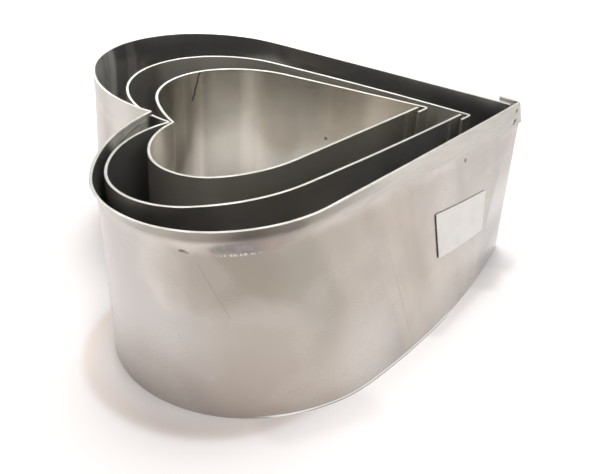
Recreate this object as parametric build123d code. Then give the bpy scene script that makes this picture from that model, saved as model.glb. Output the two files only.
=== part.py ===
from build123d import *
from collections import namedtuple
import math
import os

# A nested set of three heart shaped cutters. Each is one deep strip of thin stainless sheet,
# open above and below, folded sharply at the notch and closed at the tip by a hooked hem.
# X runs from the notch to the tip, the far lobes are at +Y and the near lobes at -Y.
# All lengths are in millimetres and all angles in degrees.

# Sheet and its fold, shared by the three cutters
sheet_thickness = 0.8
fold_radius = 0.5
nest_gap = 0.25
seam_gap = 0.8

# Each lobe leaves the notch along a wide cheek bend, goes round the tight lobe bend and comes
# off the shoulder bend onto a flank, which is straight or bows out a little. Bend radii are
# those of the sheet's middle line, and a reach runs from the notch to the corner where the
# flanks meet. The strips are bent by hand, so the two lobes of a heart differ a little.
straight_flank_radius = 3000.0

# Large cutter at its rim
large_height = 50.0
large_reach = 103.9
large_far_notch_angle = 142.0
large_far_cheek_radius = 43.0
large_far_lobe_radius = 31.2
large_far_shoulder_radius = 40.8
large_near_notch_angle = 131.1
large_near_cheek_radius = 56.6
large_near_lobe_radius = 27.9
large_near_shoulder_radius = 40.4

# Large cutter under its collar, where the near lobe draws in below the turned-out edge
collar_height = 5.5
neck_reach_growth = 0.55
neck_turn = -0.9
neck_near_cheek_radius = 49.2
neck_near_lobe_radius = 27.3
neck_near_shoulder_radius = 41.9
neck_near_flank_radius = 950.0

# Large cutter at its foot, which springs open: the flanks belly out and the tip leans away
foot_reach_growth = 3.0
foot_turn = 1.5
foot_far_lobe_radius = 36.3
foot_far_shoulder_radius = 52.3
foot_far_flank_radius = 240.0
foot_near_notch_angle = 128.4
foot_near_cheek_radius = 55.0
foot_near_lobe_radius = 34.9
foot_near_shoulder_radius = 46.3
foot_near_flank_radius = 250.0

# The rims of the two inner cutters lie a little below the large one's
inner_rim_drop = 1.6

# Medium cutter, pushed up so that its far cheek bears on the large one's fold
medium_yaw = 1.7
medium_rest_angle = 39.2
medium_reach = 84.0
medium_far_notch_angle = 137.3
medium_far_cheek_radius = 32.6
medium_far_lobe_radius = 26.3
medium_far_shoulder_radius = 31.0
medium_far_flank_radius = 680.0
medium_near_notch_angle = 149.7
medium_near_cheek_radius = 32.7
medium_near_lobe_radius = 19.1
medium_near_shoulder_radius = 50.1
medium_near_flank_radius = 1200.0
medium_foot_near_notch_angle = 147.6

# Small cutter, pushed up so that its notch straddles the medium one's fold
small_yaw = 6.7
small_reach = 72.0
small_far_notch_angle = 107.5
small_far_cheek_radius = 50.4
small_far_lobe_radius = 22.2
small_far_shoulder_radius = 28.9
small_near_notch_angle = 138.6
small_near_cheek_radius = 25.1
small_near_lobe_radius = 14.9
small_near_shoulder_radius = 39.6

# Hems: one end of the strip runs past the corner, hooks round and lies along the other's outside
hem_stand_off = 2.2
hem_bend_radius = 0.9
hem_flap_length = 3.6
foot_hem_bend_radius = 3.0
open_hem_stand_off = 3.8
open_hem_splay = 3.0
open_hem_flap_length = 5.6

# Blank adhesive label on the large cutter's near flank, its end towards the tip tilted down
label_width = 27.0
label_height = 13.0
label_thickness = 0.15
label_corner_radius = 0.6
label_flank_share = 0.63
label_centre_height = 23.9
label_tilt = 6.0
label_prism_depth = 4.0

Half = namedtuple("Half", "notch_angle cheek lobe shoulder flank")
Hem = namedtuple("Hem", "stand_off bend_radius flap_length splay")
Turns = namedtuple("Turns", "shoulder flank")


def polar(length, angle):
    return Vector(length * math.cos(math.radians(angle)), length * math.sin(math.radians(angle)))


class StripPath:
    # The strip's middle line seen from above, walked from one end to the other. Offsets from it
    # are positive towards the outside of the heart. With hooked_side 1 the hooked half is at +Y.
    def __init__(self, start, heading, hooked_side):
        self.point = start
        self.heading = heading
        self.hooked_side = hooked_side
        self.steps = []
        self.centres = []

    def outward(self, heading):
        return polar(self.hooked_side, heading + 90)

    def run(self, length):
        start, end = self.point, self.point + polar(length, self.heading)
        outward = self.outward(self.heading)
        self.steps.append(lambda offset: [start + outward * offset, end + outward * offset])
        self.point = end

    def bend(self, radius, turn, inward=True):
        towards = -1 if inward else 1
        start, heading = self.point, self.heading
        centre = start + self.outward(heading) * radius * towards
        end_heading = heading + self.hooked_side * towards * turn
        headings = [heading, (heading + end_heading) / 2, end_heading]

        def face(offset):
            return [centre + self.outward(h) * (offset - towards * radius) for h in headings]

        self.steps.append(face)
        self.centres.append(centre)
        self.point = face(0)[-1]
        self.heading = end_heading


def turns_of(half, reach, start):
    # How far the shoulder bend turns until the flank's wide bend takes over, and how far that one
    # turns until it meets the corner. Both bends share a tangent where they join.
    side_x = start.X - half.cheek * (1 - math.sin(math.radians(half.notch_angle)))
    widest_x = side_x + half.lobe
    widest_y = start.Y - half.cheek * math.cos(math.radians(half.notch_angle)) + half.lobe
    shoulder_centre = Vector(widest_x, widest_y - half.shoulder)
    corner = Vector(reach, 0)
    to_corner = corner - shoulder_centre
    wider = half.flank - half.shoulder
    cosine = (half.flank**2 - wider**2 - to_corner.length**2) / (2 * wider * to_corner.length)
    join_angle = math.degrees(math.atan2(to_corner.Y, to_corner.X) + math.acos(cosine))
    from_flank_centre = to_corner + polar(wider, join_angle)
    corner_angle = math.degrees(math.atan2(from_flank_centre.Y, from_flank_centre.X))
    return Turns(90 - join_angle, join_angle - corner_angle)


def heart_path(plain, hooked, reach, hem, hooked_side, notch, yaw):
    # From the plain end at the tip, round both lobes and the fold, to the end of the hooked flap
    fold_turn = plain.notch_angle + hooked.notch_angle - 180
    fold_chord = 2 * fold_radius * math.sin(math.radians(fold_turn / 2))
    half_chord = polar(fold_chord / 2, 90 + (hooked.notch_angle - plain.notch_angle) / 2)
    plain_turns = turns_of(plain, reach, Vector(-half_chord.X, half_chord.Y))
    hooked_turns = turns_of(hooked, reach, half_chord)
    corner_angle = sum(plain_turns) + sum(hooked_turns)
    corner_sine = math.sin(math.radians(corner_angle))
    set_back = sheet_thickness / 2 * (1 + math.cos(math.radians(corner_angle))) + seam_gap
    set_back_turn = math.degrees(set_back / corner_sine / plain.flank)
    hem_turn = 180 - corner_angle - hem.splay
    hem_tangent = hem.bend_radius * math.tan(math.radians(hem_turn / 2))
    overrun_turn = math.degrees((hem.stand_off / corner_sine - hem_tangent) / hooked.flank)

    heading = yaw + 180 + hooked_side * sum(plain_turns)
    set_back_chord = 2 * plain.flank * math.sin(math.radians(set_back_turn / 2))
    start = notch + polar(reach, yaw) + polar(set_back_chord, heading - hooked_side * set_back_turn / 2)
    path = StripPath(start, heading - hooked_side * set_back_turn, hooked_side)
    path.bend(plain.flank, plain_turns.flank - set_back_turn)
    path.bend(plain.shoulder, plain_turns.shoulder)
    path.bend(plain.lobe, 90)
    path.bend(plain.cheek, plain.notch_angle - 90)
    path.bend(fold_radius, fold_turn, inward=False)
    path.bend(hooked.cheek, hooked.notch_angle - 90)
    path.bend(hooked.lobe, 90)
    path.bend(hooked.shoulder, hooked_turns.shoulder)
    path.bend(hooked.flank, hooked_turns.flank + overrun_turn)
    path.bend(hem.bend_radius, hem_turn)
    path.run(hem.flap_length)
    path.fold_centre, path.hooked_cheek_centre = path.centres[4:6]
    return path


def edges_along(steps, offset, height, backwards=False):
    lift = Vector(0, 0, height)
    edges = []
    for face in steps:
        points = [point + lift for point in face(offset)]
        if backwards:
            points.reverse()
        is_bend = len(points) == 3
        edges.append(Edge.make_three_point_arc(*points) if is_bend else Edge.make_line(*points))
    if backwards:
        edges.reverse()
    return edges


def section(steps, inner, outer, height):
    outside = edges_along(steps, outer, height)
    inside = edges_along(steps, inner, height, backwards=True)
    end_cap = Edge.make_line(outside[-1] @ 1, inside[0] @ 0)
    start_cap = Edge.make_line(inside[-1] @ 1, outside[0] @ 0)
    return Face(Wire([*outside, end_cap, *inside, start_cap]))


def strip_section(path, height):
    return section(path.steps, -sheet_thickness / 2, sheet_thickness / 2, height)


# Large cutter: a body that widens to its foot, and a collar with the open end of the hem
large_far = Half(
    large_far_notch_angle,
    large_far_cheek_radius,
    large_far_lobe_radius,
    large_far_shoulder_radius,
    straight_flank_radius,
)
large_near = Half(
    large_near_notch_angle,
    large_near_cheek_radius,
    large_near_lobe_radius,
    large_near_shoulder_radius,
    straight_flank_radius,
)
neck_near = Half(
    large_near_notch_angle,
    neck_near_cheek_radius,
    neck_near_lobe_radius,
    neck_near_shoulder_radius,
    neck_near_flank_radius,
)
foot_far = Half(
    large_far_notch_angle,
    large_far_cheek_radius,
    foot_far_lobe_radius,
    foot_far_shoulder_radius,
    foot_far_flank_radius,
)
foot_near = Half(
    foot_near_notch_angle,
    foot_near_cheek_radius,
    foot_near_lobe_radius,
    foot_near_shoulder_radius,
    foot_near_flank_radius,
)
shut_hem = Hem(hem_stand_off, hem_bend_radius, hem_flap_length, 0)
foot_hem = Hem(hem_stand_off, foot_hem_bend_radius, hem_flap_length, 0)
open_hem = Hem(open_hem_stand_off, hem_bend_radius, open_hem_flap_length, open_hem_splay)

neck_height = large_height - collar_height
inner_height = large_height - inner_rim_drop
neck_reach = large_reach + neck_reach_growth
foot_reach = large_reach + foot_reach_growth
large_notch = Vector(0, 0)


def large_path(far, near, reach, hem, turn):
    return heart_path(far, near, reach, hem, -1, large_notch, turn)


rim_path = large_path(large_far, large_near, large_reach, open_hem, 0)
collar_path = large_path(large_far, neck_near, neck_reach, open_hem, neck_turn)
neck_path = large_path(large_far, neck_near, neck_reach, shut_hem, neck_turn)
foot_path = large_path(foot_far, foot_near, foot_reach, foot_hem, foot_turn)

collar = loft([strip_section(collar_path, neck_height), strip_section(rim_path, large_height)], ruled=True)
body = loft([strip_section(foot_path, 0), strip_section(neck_path, neck_height)], ruled=True)
large_cutter = collar + body


# The label is a skin on the outside of the large body's near flank, cut to a rounded rectangle
near_flank = slice(8, 9)
outside = sheet_thickness / 2


def label_skin_section(path, height):
    return section(path.steps[near_flank], outside, outside + label_thickness, height)


foot_edge = edges_along(foot_path.steps[near_flank], outside, 0)[0]
neck_edge = edges_along(neck_path.steps[near_flank], outside, neck_height)[0]
foot_point = foot_edge @ label_flank_share
neck_point = neck_edge @ label_flank_share
rise = label_centre_height / neck_height
label_centre = foot_point * (1 - rise) + neck_point * rise
along_flank = (foot_edge % label_flank_share) * (1 - rise) + (neck_edge % label_flank_share) * rise
label_plane = Plane(label_centre, x_dir=along_flank, z_dir=along_flank.cross(neck_point - foot_point))
label_outline = RectangleRounded(label_width, label_height, label_corner_radius)
label_prism = extrude(label_plane * Rot(0, 0, -label_tilt) * label_outline, label_prism_depth, both=True)
label_skin = loft([label_skin_section(foot_path, 0), label_skin_section(neck_path, neck_height)], ruled=True)
label = label_skin & label_prism


def inner_path(near, far, reach, yaw, notch_of):
    # The path is first drawn from the origin, and then again from where its own shape puts it
    drawn = heart_path(near, far, reach, shut_hem, 1, Vector(0, 0), yaw)
    return heart_path(near, far, reach, shut_hem, 1, notch_of(drawn), yaw)


# Medium cutter: its far cheek stays a gap away from the large one's fold, and its near lobe
# draws in a little to its foot
medium_far = Half(
    medium_far_notch_angle,
    medium_far_cheek_radius,
    medium_far_lobe_radius,
    medium_far_shoulder_radius,
    medium_far_flank_radius,
)
medium_near = Half(
    medium_near_notch_angle,
    medium_near_cheek_radius,
    medium_near_lobe_radius,
    medium_near_shoulder_radius,
    medium_near_flank_radius,
)
medium_foot_near = Half(
    medium_foot_near_notch_angle,
    medium_near_cheek_radius,
    medium_near_lobe_radius,
    medium_near_shoulder_radius,
    medium_near_flank_radius,
)
cheek_to_fold = medium_far_cheek_radius + sheet_thickness + nest_gap + fold_radius
medium_cheek_centre = rim_path.fold_centre + polar(cheek_to_fold, medium_rest_angle)


def medium_notch_of(drawn):
    return medium_cheek_centre - drawn.hooked_cheek_centre


def medium_path_of(near):
    return inner_path(near, medium_far, medium_reach, medium_yaw, medium_notch_of)


medium_path = medium_path_of(medium_near)
medium_foot_path = medium_path_of(medium_foot_near)
medium_cutter = loft(
    [strip_section(medium_foot_path, 0), strip_section(medium_path, inner_height)], ruled=True
)

# Small cutter: both sides of its notch stay a gap away from the medium one's fold
small_far = Half(
    small_far_notch_angle,
    small_far_cheek_radius,
    small_far_lobe_radius,
    small_far_shoulder_radius,
    straight_flank_radius,
)
small_near = Half(
    small_near_notch_angle,
    small_near_cheek_radius,
    small_near_lobe_radius,
    small_near_shoulder_radius,
    straight_flank_radius,
)
small_notch_half = 180 - (small_far_notch_angle + small_near_notch_angle) / 2
small_notch_heading = small_yaw + (small_far_notch_angle - small_near_notch_angle) / 2
fold_to_fold = (sheet_thickness + nest_gap) / math.sin(math.radians(small_notch_half))
small_fold_centre = medium_path.fold_centre + polar(fold_to_fold, small_notch_heading)


def small_notch_of(drawn):
    return small_fold_centre - drawn.fold_centre


small_path = inner_path(small_near, small_far, small_reach, small_yaw, small_notch_of)
small_cutter = extrude(strip_section(small_path, 0), inner_height, dir=(0, 0, 1))

# The assembly stands on z = 0 with the middle of its outline over the origin
pieces = {
    "large_cutter": large_cutter,
    "label": label,
    "medium_cutter": medium_cutter,
    "small_cutter": small_cutter,
}
middle = large_cutter.bounding_box().center()
to_origin = Pos(-middle.X, -middle.Y, 0)

os.makedirs("parts", exist_ok=True)
for name, piece in pieces.items():
    export_step(to_origin * piece, f"parts/{name}.step")
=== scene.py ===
import math

import bpy
import numpy as np
from mathutils import Matrix, Vector


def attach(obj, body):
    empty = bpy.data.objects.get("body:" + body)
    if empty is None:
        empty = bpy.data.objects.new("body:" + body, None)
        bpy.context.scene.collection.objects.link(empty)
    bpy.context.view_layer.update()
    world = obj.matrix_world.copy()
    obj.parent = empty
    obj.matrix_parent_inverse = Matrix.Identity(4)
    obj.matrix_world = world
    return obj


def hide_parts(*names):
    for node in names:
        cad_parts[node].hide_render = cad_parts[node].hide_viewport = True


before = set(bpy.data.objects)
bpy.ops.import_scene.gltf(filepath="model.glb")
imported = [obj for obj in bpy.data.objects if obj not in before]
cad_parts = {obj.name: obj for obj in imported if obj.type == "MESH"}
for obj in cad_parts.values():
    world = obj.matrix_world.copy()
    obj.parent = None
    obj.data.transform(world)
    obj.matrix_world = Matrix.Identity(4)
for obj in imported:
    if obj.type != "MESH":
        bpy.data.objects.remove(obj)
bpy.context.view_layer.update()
mm = 0.001
print("frame loaded")


def placed(name, data):
    thing = bpy.data.objects.new(name, data)
    bpy.context.scene.collection.objects.link(thing)
    return thing


# the camera stands where the photograph was taken from

photoView = {
    "place": (-41.93, -231.22, 148.43),   # mm, in the frame of the part
    "lookAt": (-6.56, -28.59, 25.0),
    "rollDegrees": 2.98,
    "lens": 54.0,
    "sensorWidth": 36.0,
}


def addCamera():
    data = bpy.data.cameras.new("photoCamera")
    data.lens = photoView["lens"]
    data.sensor_width = photoView["sensorWidth"]
    data.clip_start = 0.01
    camera = placed("photoCamera", data)
    place = Vector(photoView["place"]) * mm
    aim = Vector(photoView["lookAt"]) * mm - place
    turned = aim.to_track_quat("-Z", "Y").to_matrix().to_4x4()
    roll = Matrix.Rotation(math.radians(photoView["rollDegrees"]), 4, "Z")
    camera.matrix_world = Matrix.Translation(place) @ turned @ roll
    bpy.context.scene.camera = camera


addCamera()
print("camera set")


# the bent strips, all sizes in mm

sheet = {
    "thickness": 0.8,
    "foldRadius": 0.5,
    "nestGap": 0.25,
    "seamGap": 0.8,
    "straight": 3000.0,    # flank radius that passes for straight
}

shutHem = {"standOff": 2.2, "bend": 0.9, "flap": 3.6, "splay": 0.0}
footHem = {"standOff": 2.2, "bend": 3.0, "flap": 3.6, "splay": 0.0}
openHem = {"standOff": 3.8, "bend": 0.9, "flap": 5.6, "splay": 3.0}

# a half is notch angle, cheek, lobe, shoulder and flank radius
largeSizes = {
    "height": 50.0,
    "collar": 5.5,
    "reach": 103.9,
    "neckReach": 104.45,
    "neckTurn": -0.9,
    "footReach": 106.9,
    "footTurn": 1.5,
    "rimFar": (142.0, 43.0, 31.2, 40.8, sheet["straight"]),
    "rimNear": (131.1, 56.6, 27.9, 40.4, sheet["straight"]),
    "neckNear": (131.1, 49.2, 27.3, 41.9, 950.0),
    "footFar": (142.0, 43.0, 36.3, 52.3, 240.0),
    "footNear": (128.4, 55.0, 34.9, 46.3, 250.0),
    "rows": 30,
    "collarRows": 8,
    "creaseBlend": 2.3,    # the collar's crease is rounded over this much height, each way
    "snip": 0.25,          # between the shut hem and the open flap
}

mediumSizes = {
    "height": 48.4,
    "yaw": 1.7,
    "restAngle": 39.2,
    "reach": 84.0,
    "far": (137.3, 32.6, 26.3, 31.0, 680.0),
    "near": (149.7, 32.7, 19.1, 50.1, 1200.0),
    "footNear": (147.6, 32.7, 19.1, 50.1, 1200.0),
    "rows": 26,
}

smallSizes = {
    "height": 48.4,
    "yaw": 6.7,
    "reach": 72.0,
    "far": (107.5, 50.4, 22.2, 28.9, sheet["straight"]),
    "near": (138.6, 25.1, 14.9, 39.6, sheet["straight"]),
    "rows": 26,
}

footCurl = {
    "start": 276.5,        # mm along the strip, on the near flank
    "end": 348.0,
    "fade": 5.0,
    "height": 0.6,
    "reach": 0.32,
    # a painted highlight along the curl, and the dark lines beside it
    "brightColour": (0.95, 0.94, 0.92),
    "darkColour": (0.35, 0.33, 0.31),
}

# samples along plain flank, shoulder, lobe, cheek, fold, cheek, lobe, shoulder, flank, hem, flap
sampleCounts = (44, 22, 44, 24, 8, 24, 44, 22, 44, 10, 4)


def sine(angle):
    return math.sin(math.radians(angle))


def cosine(angle):
    return math.cos(math.radians(angle))


def polar(length, angle):
    return length * np.array([cosine(angle), sine(angle)])


class StripPath:
    # the strip's middle line from above, walked from the plain end to the hooked end
    def __init__(self, start, heading, hookedSide):
        self.point = start
        self.heading = heading
        self.hookedSide = hookedSide
        self.steps = []
        self.centres = []

    def outward(self, heading):
        return polar(self.hookedSide, heading + 90)

    def run(self, length):
        start, heading = self.point, self.heading
        out = self.outward(heading)
        self.steps.append(lambda share: (start + polar(length, heading) * share, out))
        self.point = start + polar(length, heading)

    def bend(self, radius, turn, inward=True):
        towards = -1 if inward else 1
        heading = self.heading
        centre = self.point + self.outward(heading) * radius * towards
        change = self.hookedSide * towards * turn

        def place(share):
            out = self.outward(heading + change * share)
            return centre - out * towards * radius, out

        self.steps.append(place)
        self.centres.append(centre)
        self.point = place(1.0)[0]
        self.heading = heading + change


def turnsOf(half, reach, start):
    # how far the shoulder turns, and then the flank up to the corner
    notchAngle, cheek, lobe, shoulder, flank = half
    widestX = start[0] - cheek * (1 - sine(notchAngle)) + lobe
    widestY = start[1] - cheek * cosine(notchAngle) + lobe
    toCorner = np.array([reach - widestX, shoulder - widestY])
    span = np.hypot(*toCorner)
    wider = flank - shoulder
    join = (flank**2 - wider**2 - span**2) / (2 * wider * span)
    joinAngle = math.degrees(math.atan2(toCorner[1], toCorner[0]) + math.acos(join))
    fromCentre = toCorner + polar(wider, joinAngle)
    cornerAngle = math.degrees(math.atan2(fromCentre[1], fromCentre[0]))
    return 90 - joinAngle, joinAngle - cornerAngle


def heartPath(plain, hooked, reach, hem, hookedSide, notch, yaw):
    foldRadius = sheet["foldRadius"]
    foldTurn = plain[0] + hooked[0] - 180
    halfChord = polar(foldRadius * sine(foldTurn / 2), 90 + (hooked[0] - plain[0]) / 2)
    plainTurns = turnsOf(plain, reach, (-halfChord[0], halfChord[1]))
    hookedTurns = turnsOf(hooked, reach, halfChord)
    corner = sum(plainTurns) + sum(hookedTurns)
    setBack = sheet["thickness"] / 2 * (1 + cosine(corner)) + sheet["seamGap"]
    setBackTurn = math.degrees(setBack / sine(corner) / plain[4])
    hemTurn = 180 - corner - hem["splay"]
    hemTangent = hem["bend"] * math.tan(math.radians(hemTurn / 2))
    overrunTurn = math.degrees((hem["standOff"] / sine(corner) - hemTangent) / hooked[4])
    heading = yaw + 180 + hookedSide * sum(plainTurns)
    setBackChord = 2 * plain[4] * sine(setBackTurn / 2)
    start = notch + polar(reach, yaw) + polar(setBackChord, heading - hookedSide * setBackTurn / 2)
    path = StripPath(start, heading - hookedSide * setBackTurn, hookedSide)
    path.bend(plain[4], plainTurns[1] - setBackTurn)
    path.bend(plain[3], plainTurns[0])
    path.bend(plain[2], 90)
    path.bend(plain[1], plain[0] - 90)
    path.bend(foldRadius, foldTurn, inward=False)
    path.bend(hooked[1], hooked[0] - 90)
    path.bend(hooked[2], 90)
    path.bend(hooked[3], hookedTurns[0])
    path.bend(hooked[4], hookedTurns[1] + overrunTurn)
    path.bend(hem["bend"], hemTurn)
    path.run(hem["flap"])
    path.foldCentre, path.hookedCheekCentre = path.centres[4:6]
    return path


def innerPath(near, far, sizes, notchOf):
    drawn = heartPath(near, far, sizes["reach"], shutHem, 1, np.zeros(2), sizes["yaw"])
    return heartPath(near, far, sizes["reach"], shutHem, 1, notchOf(drawn), sizes["yaw"])


def sampled(path, steps=slice(None)):
    # middle line points and outward directions, one row for each column of the mesh
    points, outs = [], []
    for place, count in list(zip(path.steps, sampleCounts))[steps]:
        for index in range(count):
            point, out = place(index / count)
            points.append(point)
            outs.append(out)
    point, out = place(1.0)
    return np.array(points + [point]), np.array(outs + [out])


def between(low, high, share):
    points = low[0] * (1 - share) + high[0] * share
    outs = low[1] * (1 - share) + high[1] * share
    return points, outs / np.linalg.norm(outs, axis=1)[:, None]


large = largeSizes
rimPath = heartPath(large["rimFar"], large["rimNear"], large["reach"], openHem, -1, np.zeros(2), 0)
neckSettings = (large["rimFar"], large["neckNear"], large["neckReach"])
collarPath = heartPath(*neckSettings, openHem, -1, np.zeros(2), large["neckTurn"])
neckPath = heartPath(*neckSettings, shutHem, -1, np.zeros(2), large["neckTurn"])
footPath = heartPath(
    large["footFar"], large["footNear"], large["footReach"], footHem, -1, np.zeros(2), large["footTurn"]
)

cheekToFold = mediumSizes["far"][1] + sheet["thickness"] + sheet["nestGap"] + sheet["foldRadius"]
mediumCheekCentre = rimPath.foldCentre + polar(cheekToFold, mediumSizes["restAngle"])


def mediumPathOf(near):
    def notchOf(drawn):
        return mediumCheekCentre - drawn.hookedCheekCentre

    return innerPath(near, mediumSizes["far"], mediumSizes, notchOf)


mediumPath = mediumPathOf(mediumSizes["near"])
mediumFootPath = mediumPathOf(mediumSizes["footNear"])

notchHalf = 180 - (smallSizes["far"][0] + smallSizes["near"][0]) / 2
notchHeading = smallSizes["yaw"] + (smallSizes["far"][0] - smallSizes["near"][0]) / 2
foldToFold = (sheet["thickness"] + sheet["nestGap"]) / sine(notchHalf)
smallFoldCentre = mediumPath.foldCentre + polar(foldToFold, notchHeading)
smallPath = innerPath(
    smallSizes["near"], smallSizes["far"], smallSizes, lambda p: smallFoldCentre - p.foldCentre
)

# the part's origin is the middle of the large cutter's outline
outlines = [sampled(p) for p in (footPath, neckPath, rimPath)]
edges = np.vstack([points + outs * sheet["thickness"] / 2 for points, outs in outlines])
toOrigin = -(edges.min(axis=0) + edges.max(axis=0)) / 2
print("paths drawn, shift", toOrigin)


# walls one face thick, which the node tree below turns into sheet

def alongOf(points):
    return np.concatenate([[0], np.cumsum(np.hypot(*np.diff(points, axis=0).T))])


# columns over which a wall gets its freedom, from the fold and from the tip
stiffColumns = {"fold": 30, "tip": 24}


def freedomOf(counts):
    # how freely each column gives: not at all at the fold and the tip, fully on the lobes and flanks
    joints = np.cumsum([0, *counts])
    foldStart, foldEnd, hemStart = joints[4], joints[5], joints[9]
    columns = np.arange(joints[-1] + 1)
    fromFold = np.maximum(foldStart - columns, columns - foldEnd).clip(0)
    fromTip = np.minimum(columns, hemStart - columns).clip(0)
    return np.clip(fromFold / stiffColumns["fold"], 0, 1) * np.clip(fromTip / stiffColumns["tip"], 0, 1)


freedoms = freedomOf(sampleCounts)


class Wall:
    # rows of points, gathered into one mesh with the values that the tree and finishes read
    def __init__(self):
        self.places, self.outs, self.faces = [], [], []
        self.values = {"along": [], "up": [], "freedom": []}

    def row(self, points, outs, alongs, height, firstColumn=0):
        first = len(self.places)
        for index, (point, out, along) in enumerate(zip(points, outs, alongs)):
            self.places.append((*((point + toOrigin) * mm), height * mm))
            self.outs.append((*out, 0.0))
            self.values["along"].append(along)
            self.values["up"].append(height)
            self.values["freedom"].append(freedoms[firstColumn + index])
        return list(range(first, len(self.places)))

    def fill(self, rows, clockwise):
        for low, high in zip(rows, rows[1:]):
            for index in range(len(low) - 1):
                face = [low[index], low[index + 1], high[index + 1], high[index]]
                self.faces.append(face[::-1] if clockwise else face)

    def mesh(self, name):
        data = bpy.data.meshes.new(name)
        data.from_pydata(self.places, [], self.faces)
        for key, values in self.values.items():
            data.attributes.new(key, "FLOAT", "POINT").data.foreach_set("value", values)
        outs = np.array(self.outs).ravel()
        data.attributes.new("outward", "FLOAT_VECTOR", "POINT").data.foreach_set("vector", outs)
        data.shade_smooth()
        data.update()
        return data


def largeWall():
    wall = Wall()
    main, hemmed = slice(0, 9), slice(9, 11)
    low, high = sampled(footPath, main), sampled(neckPath, main)
    top = sampled(rimPath, main)
    alongs = alongOf(high[0])
    neckHeight = large["height"] - large["collar"]
    neckSlope = (high[0] - low[0]) / neckHeight
    collarSlope = (top[0] - high[0]) / large["collar"]
    blend = large["creaseBlend"]
    fromEnds = np.minimum(alongs - footCurl["start"], footCurl["end"] - alongs)
    curl = footCurl["reach"] * np.clip(fromEnds / footCurl["fade"], 0, 1)[:, None]

    def rowAt(height):
        # straight below and above the crease, which is rounded off in between
        if height <= neckHeight:
            points, outs = between(low, high, height / neckHeight)
        else:
            points, outs = between(high, top, (height - neckHeight) / large["collar"])
        near = max(blend - abs(height - neckHeight), 0)
        points = points + (collarSlope - neckSlope) * near**2 / (4 * blend)
        # the sheared foot curls outwards a little
        points = points + outs * curl * max(1 - height / footCurl["height"], 0) ** 2
        return wall.row(points, outs, alongs, height)

    footHeights = [footCurl["height"] * share for share in (0, 0.25, 0.5, 0.75)]
    bodyHeights = np.linspace(footCurl["height"], neckHeight, large["rows"] + 1)
    bodyRows = [rowAt(height) for height in (*footHeights, *bodyHeights)]
    collarHeights = np.linspace(neckHeight, large["height"], large["collarRows"] + 1)[1:]
    collarRows = [bodyRows[-1]] + [rowAt(height) for height in collarHeights]
    wall.fill(bodyRows, False)
    wall.fill(collarRows, False)
    # the hem below the snip, and the open flap above it
    for lowPath, highPath, rootRows, lowHeight, highHeight in (
        (footPath, neckPath, bodyRows, 0.0, neckHeight),
        (collarPath, rimPath, collarRows, neckHeight, large["height"]),
    ):
        lowTail, highTail = sampled(lowPath, hemmed), sampled(highPath, hemmed)
        tailAlongs = alongs[-1] + alongOf(highTail[0])
        tailRows = []
        for index, root in enumerate(rootRows):
            height = wall.values["up"][root[-1]]
            share = (height - lowHeight) / (highHeight - lowHeight)
            points, outs = between(lowTail, highTail, share)
            if rootRows is collarRows and index == 0:
                height += large["snip"]
            tail = wall.row(points[1:], outs[1:], tailAlongs[1:], height, len(alongs))
            tailRows.append([root[-1], *tail])
        wall.fill(tailRows, False)
    return wall.mesh("largeWall")


def innerWall(lowPath, highPath, sizes, name):
    wall = Wall()
    low, high = sampled(lowPath), sampled(highPath)
    alongs = alongOf(high[0])
    rows = []
    for index in range(sizes["rows"] + 1):
        share = index / sizes["rows"]
        rows.append(wall.row(*between(low, high, share), alongs, sizes["height"] * share))
    wall.fill(rows, True)
    return wall.mesh(name)


# the node tree that turns a wall into sheet

class Tree:
    # short hands for building a node tree
    def __init__(self, tree):
        self.tree = tree
        self.column = 0

    def node(self, kind, **settings):
        node = self.tree.nodes.new(kind)
        node.location = (self.column, 0)
        self.column += 180
        for key, value in settings.items():
            setattr(node, key, value)
        return node

    def link(self, start, end):
        self.tree.links.new(start, end)

    def give(self, socket, value):
        if isinstance(value, bpy.types.NodeSocket):
            self.link(value, socket)
        else:
            socket.default_value = value

    def math(self, operation, *values):
        node = self.node("ShaderNodeMath", operation=operation)
        for socket, value in zip(node.inputs, values):
            self.give(socket, value)
        return node.outputs[0]

    def vector(self, operation, *values):
        node = self.node("ShaderNodeVectorMath", operation=operation)
        for socket, value in zip(node.inputs, values):
            self.give(socket, value)
        return node.outputs["Value" if operation in ("LENGTH", "DOT_PRODUCT") else "Vector"]

    def scaled(self, vector, factor):
        node = self.node("ShaderNodeVectorMath", operation="SCALE")
        self.give(node.inputs[0], vector)
        self.give(node.inputs["Scale"], factor)
        return node.outputs["Vector"]

    def noise(self, vector, size, detail=2.0, stretch=(1, 1, 1), shift=0.0):
        # cloudy noise from 0 to 1 whose blots are about size across, times the stretch
        shares = tuple(1 / (size * s) for s in stretch)
        place = self.vector("MULTIPLY_ADD", vector, shares, (shift, shift, shift))
        node = self.node("ShaderNodeTexNoise")
        self.link(place, node.inputs["Vector"])
        node.inputs["Scale"].default_value = 1.0
        node.inputs["Detail"].default_value = detail
        return node.outputs[0]

    def ramp(self, value, low, high, toLow=0.0, toHigh=1.0):
        node = self.node("ShaderNodeMapRange", interpolation_type="SMOOTHSTEP")
        for socket, given in zip(node.inputs, (value, low, high, toLow, toHigh)):
            self.give(socket, given)
        return node.outputs[0]

    def mixed(self, share, first, second):
        node = self.node("ShaderNodeMix", data_type="RGBA")
        for index, given in ((0, share), (6, first), (7, second)):
            if isinstance(given, tuple):
                given = (*given, 1.0)
            self.give(node.inputs[index], given)
        return node.outputs[2]

    def product(self, first, *others):
        for other in others:
            first = self.math("MULTIPLY", first, other)
        return first

    def layer(self, colour, paint, *shares):
        # paint over a colour, where the product of the shares is 1
        return self.mixed(self.product(*shares), colour, paint)


# the wall gives a little, by a noise that runs along and up it
waves = {
    "depth": 0.3,          # mm
    "size": 24.0,
    "upShare": 0.22,
    "seedStep": 31.7,
    "detail": 1.5,
}
edgeAngle = 55             # degrees, over which an edge is broken
brokenEdge = 0.12          # mm


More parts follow.
